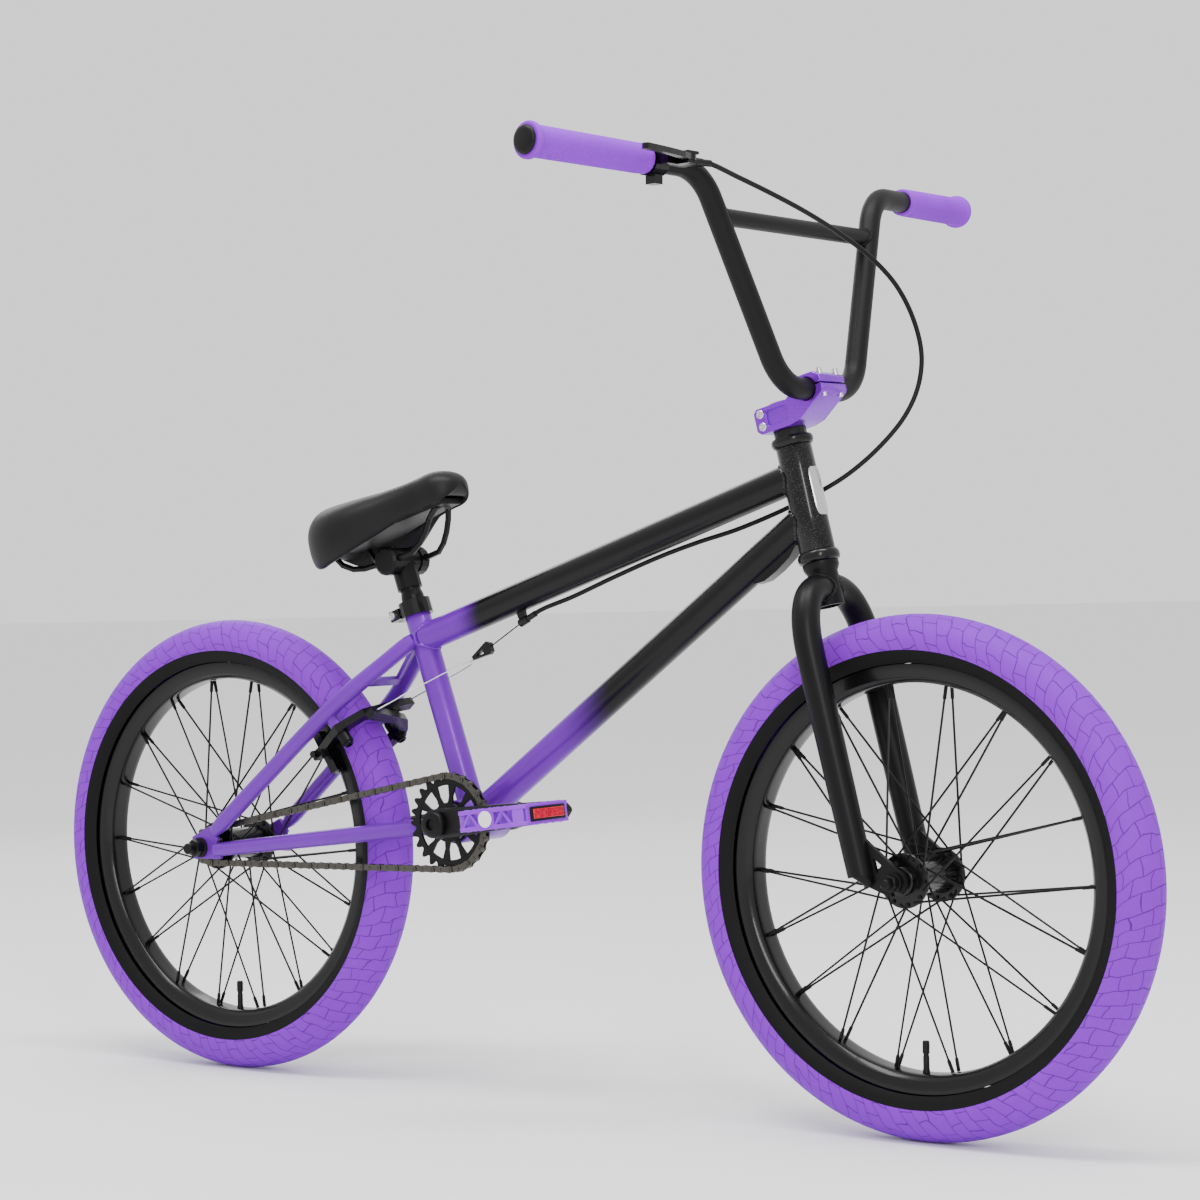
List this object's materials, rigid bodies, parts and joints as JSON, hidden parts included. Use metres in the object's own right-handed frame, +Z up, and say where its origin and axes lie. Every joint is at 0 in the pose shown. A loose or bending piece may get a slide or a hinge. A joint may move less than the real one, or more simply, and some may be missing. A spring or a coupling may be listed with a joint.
{
  "type": "bmx bike",
  "caption": "Small freestyle bicycle: low sloping frame, high crossbar handlebar, fat tyres, single-speed chain drive, platform pedals and a rear U-brake worked by a bar lever.",
  "frame": {"origin": "on the floor, midway between the wheel centres, in the bike's middle plane", "axes": "+X is the way the bike rolls, +Y its left side, +Z up; the chain is at -Y"},
  "size_m": [1.438, 0.791, 0.9766],
  "materials": {
    "gloss_purple_paint": "gloss",
    "gloss_black_paint": "gloss",
    "satin_black_paint": "satin",
    "purple_anodised": "polished, anodised",
    "black_alloy": "satin, anodised",
    "purple_rubber": "matte",
    "purple_tyre": "matte tread, black sidewalls",
    "purple_plastic": "satin",
    "black_plastic": "satin",
    "black_cover": "satin",
    "dark_steel": "oiled",
    "bright_wire": "bright"
  },
  "bodies": {
    "frame": {"head_tube": "gloss_black_paint", "top_tube": "gloss_black_paint", "down_tube": "gloss_black_paint", "seat_tube": "gloss_purple_paint", "bottom_bracket_shell": "gloss_purple_paint", "seat_stay_right": "gloss_purple_paint", "seat_stay_left": "gloss_purple_paint", "seat_stay_bridge": "gloss_purple_paint", "chain_stay_right": "gloss_purple_paint", "chain_stay_left": "gloss_purple_paint", "headset_cup_lower": "black_alloy", "headset_cup_upper": "black_alloy", "bottom_bracket_bearing_right": "satin_black_paint", "bottom_bracket_bearing_left": "satin_black_paint", "seat_clamp": "black_alloy", "rear_axle": "satin_black_paint", "brake_housing": "black_plastic", "chain": "dark_steel"},
    "steering": {"fork_steerer": "satin_black_paint", "fork_leg_right": "satin_black_paint", "fork_leg_left": "satin_black_paint", "front_axle": "satin_black_paint", "stem_body": "purple_anodised", "stem_clamp": "purple_anodised", "headset_spacer": "black_alloy", "handlebar": "satin_black_paint", "grip_right": "purple_rubber", "grip_left": "purple_rubber", "bar_end_right": "black_plastic", "bar_end_left": "black_plastic", "brake_lever_bracket": "black_alloy"},
    "brake_lever": {"brake_lever": "black_alloy"},
    "front_wheel": {"front_tyre": "purple_tyre", "front_rim": "black_alloy", "front_spokes_right": "dark_steel", "front_spokes_left": "dark_steel", "front_hub": "black_alloy"},
    "rear_wheel": {"rear_tyre": "purple_tyre", "rear_rim": "black_alloy", "rear_spokes_right": "dark_steel", "rear_spokes_left": "dark_steel", "rear_hub": "black_alloy"},
    "driver": {"rear_cog": "dark_steel"},
    "crankset": {"crank_spindle": "satin_black_paint", "crank_arm_right": "satin_black_paint", "crank_arm_left": "satin_black_paint", "sprocket": "satin_black_paint", "pedal_spindle_right": "dark_steel", "pedal_spindle_left": "dark_steel"},
    "pedal_right": {"pedal_right": "purple_plastic"},
    "pedal_left": {"pedal_left": "purple_plastic"},
    "brake_arm_right": {"brake_arm_right": "black_alloy"},
    "brake_arm_left": {"brake_arm_left": "black_alloy"},
    "cable_carrier": {"cable_carrier": "black_alloy", "straddle_wire": "bright_wire"},
    "seat_post": {"seat_post": "satin_black_paint", "saddle_clamp": "satin_black_paint"},
    "saddle": {"saddle_clamp_plates": "satin_black_paint", "saddle_base": "black_plastic", "saddle_cover": "black_cover"}
  },
  "joints": [
    {"name": "steer", "type": "hinge", "parent": "frame", "child": "steering", "pos_m": [0.33145, 0, 0.63404], "axis": [-0.2419, 0, 0.9703], "range_deg": [-90, 90], "deforming": ["brake_housing"]},
    {"name": "front_wheel_spin", "type": "hinge", "parent": "steering", "child": "front_wheel", "pos_m": [0.46, 0, 0.259], "axis": [0, 1, 0], "continuous": true},
    {"name": "rear_wheel_spin", "type": "hinge", "parent": "frame", "child": "rear_wheel", "pos_m": [-0.46, 0, 0.259], "axis": [0, 1, 0], "continuous": true},
    {"name": "crank_spin", "type": "hinge", "parent": "frame", "child": "crankset", "pos_m": [-0.103, 0, 0.298], "axis": [0, 1, 0], "continuous": true},
    {"name": "driver_spin", "type": "hinge", "parent": "frame", "child": "driver", "pos_m": [-0.46, 0, 0.259], "axis": [0, 1, 0], "continuous": true},
    {"name": "pedal_right_spin", "type": "hinge", "parent": "crankset", "child": "pedal_right", "pos_m": [0.07031, -0.1525, 0.31836], "axis": [0, 1, 0], "continuous": true},
    {"name": "pedal_left_spin", "type": "hinge", "parent": "crankset", "child": "pedal_left", "pos_m": [-0.27631, 0.1525, 0.27764], "axis": [0, 1, 0], "continuous": true},
    {"name": "brake_lever_pull", "type": "hinge", "parent": "steering", "child": "brake_lever", "pos_m": [0.34855, -0.21669, 0.95363], "axis": [0, -0.0301, -0.9995], "range_deg": [0, 22], "stiffness_Nm_per_rad": 0.4, "springref_deg": -11.46, "deforming": ["straddle_wire"]},
    {"name": "brake_arm_right_close", "type": "hinge", "parent": "frame", "child": "brake_arm_right", "pos_m": [-0.25387, -0.045, 0.39114], "axis": [0.6388, 0, -0.7694], "range_deg": [0, 2.4]},
    {"name": "brake_arm_left_close", "type": "hinge", "parent": "frame", "child": "brake_arm_left", "pos_m": [-0.25387, 0.045, 0.39114], "axis": [-0.6388, 0, 0.7694], "range_deg": [0, 2.4]},
    {"name": "carrier_slide", "type": "slide", "parent": "frame", "child": "cable_carrier", "axis": [0.8629, 0, 0.5054], "range_m": [0, 0.0046], "stiffness_N_per_m": 1, "springref_m": 0.0235},
    {"name": "seat_height", "type": "slide", "parent": "frame", "child": "seat_post", "axis": [-0.3256, 0, 0.9455], "range_m": [-0.012, 0.05]},
    {"name": "saddle_tilt", "type": "hinge", "parent": "seat_post", "child": "saddle", "pos_m": [-0.20067, 0, 0.58166], "axis": [0, 1, 0], "range_deg": [-10, 10]}
  ],
  "couplings": [
    {"joint": "driver_spin", "follows": "crank_spin", "ratio": 2.7778},
    {"joint": "brake_arm_right_close", "follows": "brake_lever_pull", "ratio": 0.109},
    {"joint": "brake_arm_left_close", "follows": "brake_lever_pull", "ratio": 0.109},
    {"joint": "carrier_slide", "follows": "brake_lever_pull", "m_per_rad": 0.01172}
  ]
}
